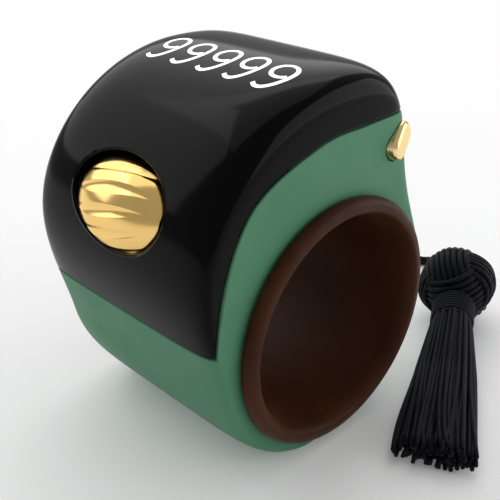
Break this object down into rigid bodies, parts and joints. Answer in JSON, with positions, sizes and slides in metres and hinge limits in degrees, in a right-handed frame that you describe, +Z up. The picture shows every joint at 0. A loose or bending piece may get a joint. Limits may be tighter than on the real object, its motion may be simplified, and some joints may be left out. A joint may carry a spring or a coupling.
{
  "type": "finger tally counter",
  "caption": "Finger-worn electronic tally counter: wide ring with a lit display under a glossy cap, a thumb-rolled counting bead in an oval window, a side button and a tassel on a cord.",
  "frame": {"origin": "middle of the flat underside of the ring, straight below the finger hole's axis", "axes": "+Z up through the finger hole's axis to the display, Y along the finger with the side button at -Y, -X towards the bead and +X towards the cord"},
  "size_m": [0.051, 0.037, 0.0341],
  "materials": {
    "black_gloss": "polished",
    "green_matte": "fine matte",
    "brown_silicone": "satin",
    "gold": "polished",
    "steel": "plain",
    "magnet": "plain",
    "grey_plastic": "plain",
    "chip_black": "plain",
    "board_green": "lacquered",
    "cell_foil": "foil",
    "flat_lead": "film",
    "soft_rubber": "plain",
    "black_thread": "twisted thread"
  },
  "bodies": {
    "case": {"top_shell": "black_gloss", "ring_frame": "green_matte", "finger_liner": "brown_silicone", "charge_contact_1": "gold", "charge_contact_2": "gold", "cord_eyelet": "gold", "bead_axle": "steel", "detent_spring": "steel", "button_switch": "steel", "cradle_screw_1": "steel", "cradle_screw_2": "steel", "case_screw_1": "steel", "case_screw_2": "steel", "case_screw_3": "steel", "case_screw_4": "steel", "bead_cradle": "grey_plastic", "display_holder": "grey_plastic", "display_panel": "chip_black", "controller_chip": "chip_black", "hall_sensor": "chip_black", "main_board": "board_green", "battery": "cell_foil", "sensor_flex": "flat_lead", "display_flex": "flat_lead", "charge_flex": "flat_lead", "switch_dome": "soft_rubber", "cord_knot": "black_thread", "tassel_cord": "black_thread", "tassel_head": "black_thread", "tassel_neck": "black_thread", "tassel_skirt": "black_thread"},
    "bead": {"count_bead": "gold", "bead_bush_left": "steel", "bead_bush_right": "steel", "count_magnet": "magnet"},
    "button": {"side_button": "gold"}
  },
  "joints": [
    {"name": "bead_spin", "type": "hinge", "parent": "case", "child": "bead", "pos_m": [-0.01193, 0, 0.02324], "axis": [0, 1, 0], "continuous": true},
    {"name": "side_button_press", "type": "slide", "parent": "case", "child": "button", "axis": [-0.2608, 0.9628, -0.0702], "range_m": [0, 0.0004], "stiffness_N_per_m": 800}
  ]
}
